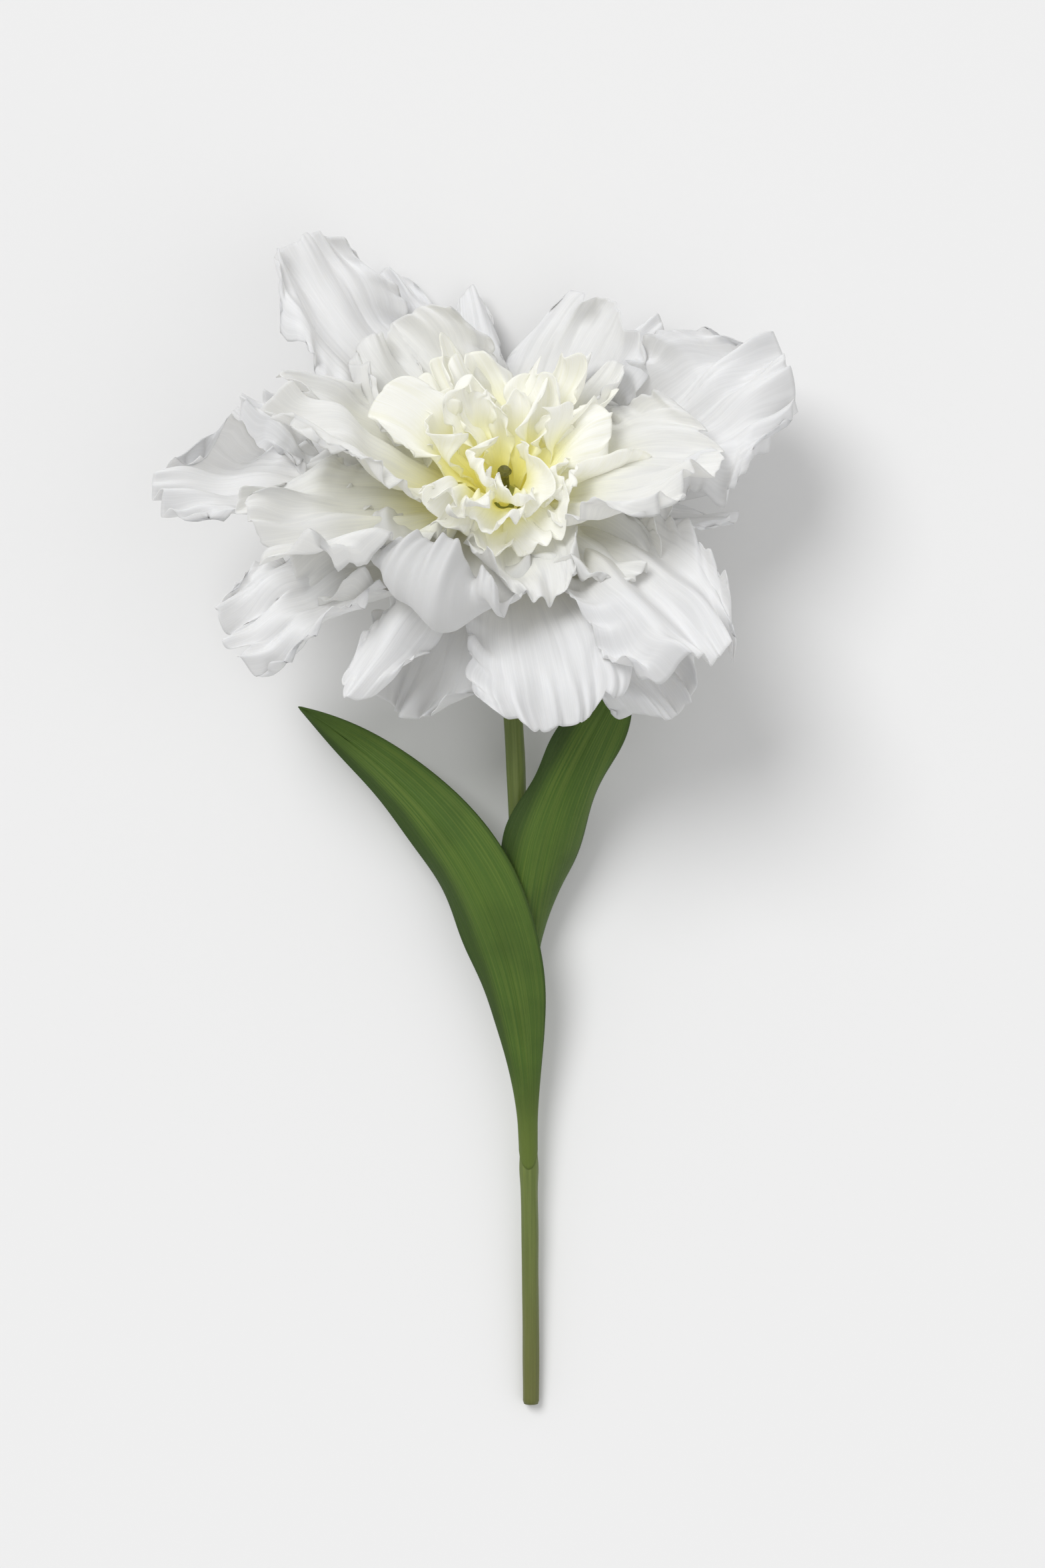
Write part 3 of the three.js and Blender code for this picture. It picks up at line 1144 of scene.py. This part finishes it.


# Turn, seat, opens, length and width are those of the solids, but the middle petals at turn 132 and
# 242 are shorter.
# Three petals below, at turn 244 of the outer whorl and at 132 and 242 of the middle, are greyed as painted
# shade, for petals that lie in shade.
WHORLS = [
    Whorl(WhorlName.OUTER, [
        Petal(140, 0.88, (57, 70), 120, 46, hood=18, cup=0.14, frill=3.6, pleat=1.5, lean=-0.07,
              fullest=0.78, notch=2.4),
        Petal(118, 1, (68, 82), 104, 34, frill=5, notch=4),
        Petal(100, 0.9, (64, 82), 85, 16, twist=25),
        Petal(70, 0.9, (64, 52), 82, 44, hood=40, cup=-0.3, frill=2.6, fold=0.8, lean=-0.2,
              notch=0.8, pleat=0.8, spread=1.24, fullest=0.8),
        Petal(50, 1, (73, 91), 90, 38, frill=5, parts=2, cleft=0.2),
        Petal(15, 0.88, (62, 80), 108, 60, frill=4.8, fold=3.4, pleat=1.5, parts=2, cleft=0.06,
              fullest=0.76, spread=1.15),
        Petal(2, 1, (80, 98), 80, 38, frill=5, parts=3, cleft=0.25),
        Petal(328, 0.88, (73, 99), 104, 58, frill=4.6, fold=3.4, notch=1.8, fullest=0.7,
              lean=-0.24, spread=0.98),
        Petal(310, 1, (88, 130), 95, 40, frill=5),
        Petal(285, 0.88, (72, 128), 90, 56, cup=0.05, frill=3.6, fold=0.4, pleat=0.05, notch=4.4,
              fullest=0.8, spread=1.1),
        Petal(244, 1, (92, 124), 80, 40, frill=5, painted_shade=0.7),
        Petal(239, 0.88, (80, 108), 92, 18, frill=4, twist=15, spread=1.3),
        Petal(210, 1, (76, 98), 112, 44, frill=5.5, notch=3.5, parts=3, cleft=0.09, spread=1.02),
        Petal(180, 0.88, (65, 87), 122, 36, frill=6, pleat=1.4, twist=-12, lean=0.12, fullest=0.7),
        Petal(160, 1, (75, 84), 96, 44, frill=6, notch=4, parts=3, cleft=0.14),
    ], 80, 104, crumple=0.12),
    Whorl(WhorlName.MIDDLE, [
        Petal(132, 0.64, (46, 58), 70, 54, cup=0.12, fold=2.4, pleat=1.9, parts=2, cleft=0.05,
              fullest=0.78, painted_shade=0.16),
        Petal(111, 0.78, (54, 62), 76, 24, twist=18, parts=2, cleft=0.25),
        Petal(44, 0.64, (48, 58), 62, 28, cup=0.25, twist=-18, parts=2, cleft=0.3),
        Petal(20, 0.76, (58, 73), 62, 34, frill=5, fold=3.4, fullest=0.76),
        Petal(346, 0.62, (50, 72), 80, 54, frill=3.4, fold=1.8, pleat=1.7, notch=3, hook=16,
              spread=1.42, fullest=0.8),
        Petal(325, 0.74, (64, 95), 64, 40, frill=5.5, fold=3.6),
        Petal(242, 0.66, (70, 72), 88, 40, hood=147, frill=2.4, fold=1.2, pleat=0.3, spread=1.6,
              notch=0.7, lean=0.08, painted_shade=0.8),
        Petal(210, 0.9, (72, 92), 80, 38, frill=5.5),
        Petal(205, 0.78, (58, 79), 98, 46, fold=3, pleat=1.7, parts=3, cleft=0.1, spread=1.32),
        Petal(180, 0.66, (48, 65), 90, 46, fold=3.2, pleat=1.8, parts=3, cleft=0.1, spread=1.32),
        Petal(282, 0.58, (54, 90), 60, 38, frill=4, notch=3.4),
    ], 72, 92, crumple=0.26),
    Whorl(WhorlName.INNER, [
        *ring(9, 90, 0.46, (34, 46), 54, 16),
        *ring(9, 110, 0.28, (26, 36), 54, 14),
        *ring(6, 95, 0.08, (13, 24), 46, 12, hook=40, spread=1.7),
    ], 56, 52, crumple=1.0),
]


# --- colours

WHITE = (0.84, 0.84, 0.84)
GREY = (0.62, 0.62, 0.62)
CREAM = (0.84, 0.83, 0.66)
YELLOW = (0.84, 0.77, 0.16)

STEM_FINISH = StemFinish("stem_living", (0.108, 0.15, 0.026), (0.15, 0.195, 0.04), (0.118, 0.118, 0.026))
LEAF_FINISH = LeafFinish(
    "leaf_waxy", (0.062, 0.128, 0.014), (0.108, 0.172, 0.024), (0.028, 0.058, 0.007), (0.125, 0.175, 0.03)
)
RECEPTACLE_FINISH = FleshFinish("receptacle_flesh", (0.42, 0.44, 0.16), (0.3, 0.34, 0.1))
PISTIL_FINISH = FleshFinish("pistil_flesh", (0.17, 0.165, 0.035), (0.09, 0.09, 0.02))
PETAL_FINISHES = {
    # The outer petals' darker beige towards the foot is partly their own cream and partly painted shade of
    # the recess round the heart.
    WhorlName.OUTER: PetalFinish(
        "petal_white", WHITE, (0.76, 0.74, 0.61), YELLOW, GREY, foot_end=0.2, middle_end=0.7, painted_glow=0.02
    ),
    WhorlName.MIDDLE: PetalFinish(
        "petal_cream", (0.83, 0.828, 0.8), CREAM, YELLOW, GREY, foot_end=0.44, middle_end=0.78, painted_glow=0.05
    ),
    WhorlName.INNER: PetalFinish(
        "petal_butter", (0.86, 0.857, 0.81), (0.86, 0.84, 0.5), YELLOW, (0.74, 0.73, 0.54),
        foot_end=0.62, middle_end=0.84, painted_glow=0.14,
    ),
}


# --- studio


@dataclass
class Studio:
    """A pale floor, soft light all round and a camera that looks straight down.

    camera_height and aim are counted from the foot of the receptacle. surround is the strength of the
    light from all round, and floor_reach and sight are in metres.
    """

    camera_height: float = 1633.0
    lens: float = 100.0
    aim: tuple[float, float] = (6.75, -101.5)
    sensor: float = 36.0
    sight: float = 50.0
    floor_reach: float = 6.0
    surround: float = 0.5

    def build(self, heart: Heart) -> None:
        """Makes the floor, the lights and the camera.

        Args:
            heart: the part of the flower that the camera's aim is measured from.
        """
        mesh = bpy.data.meshes.new("floor")
        size = self.floor_reach
        corners = [(-size, -size, 0), (size, -size, 0), (size, size, 0), (-size, size, 0)]
        mesh.from_pydata(corners, [], [(0, 1, 2, 3)])
        mesh.materials.append(FloorFinish().material())
        floor = bpy.data.objects.new("floor", mesh)
        bpy.context.collection.objects.link(floor)
        world = bpy.data.worlds.new("surround")
        world.use_nodes = True
        world.node_tree.nodes["Background"].inputs[0].default_value = (1.0, 1.0, 1.0, 1.0)
        world.node_tree.nodes["Background"].inputs[1].default_value = self.surround
        bpy.context.scene.world = world
        bpy.context.scene.view_settings.view_transform = "Standard"
        self._light("key", (-2.0, 2.4, 4.2), 30.0, 1.6)
        self._light("fill", (1.4, -0.8, 2.0), 70.0, 0.4)
        camera = bpy.data.objects.new("camera", bpy.data.cameras.new("camera"))
        bpy.context.collection.objects.link(camera)
        camera.data.lens = self.lens
        camera.data.sensor_width = self.sensor
        camera.data.clip_end = self.sight
        spot = heart.origin + np.array([self.aim[0], self.aim[1], self.camera_height])
        camera.location = tuple(spot * MM)
        bpy.context.scene.camera = camera

    @staticmethod
    def _light(name: str, place: tuple[float, float, float], spread: float, power: float) -> None:
        """A soft light from far away.

        Args:
            name: what it is called.
            place: a place in the direction that it comes from.
            spread: how many degrees of the sky it fills.
            power: how strong it is.
        """
        data = bpy.data.lights.new(name, "SUN")
        data.angle, data.energy = math.radians(spread), power
        light = bpy.data.objects.new(name, data)
        light.location = place
        light.rotation_euler = (-Vector(place)).to_track_quat("-Z", "Y").to_euler()
        bpy.context.collection.objects.link(light)


def main() -> None:
    """Builds the flower and the studio."""
    logging.basicConfig(level=logging.INFO, format="%(name)s: %(message)s")
    heart = Heart()
    stem = Stem(heart.origin, heart.axis)
    stem.build(STEM_FINISH.material())
    leaf_finish = LEAF_FINISH.material()
    for leaf in LEAVES:
        leaf.build(stem, leaf_finish)
    heart.build(RECEPTACLE_FINISH.material(), PISTIL_FINISH.material())
    for whorl in WHORLS:
        whorl.build(heart, PETAL_FINISHES[whorl.name].material())
    Studio().build(heart)


if __name__ == "__main__":
    main()
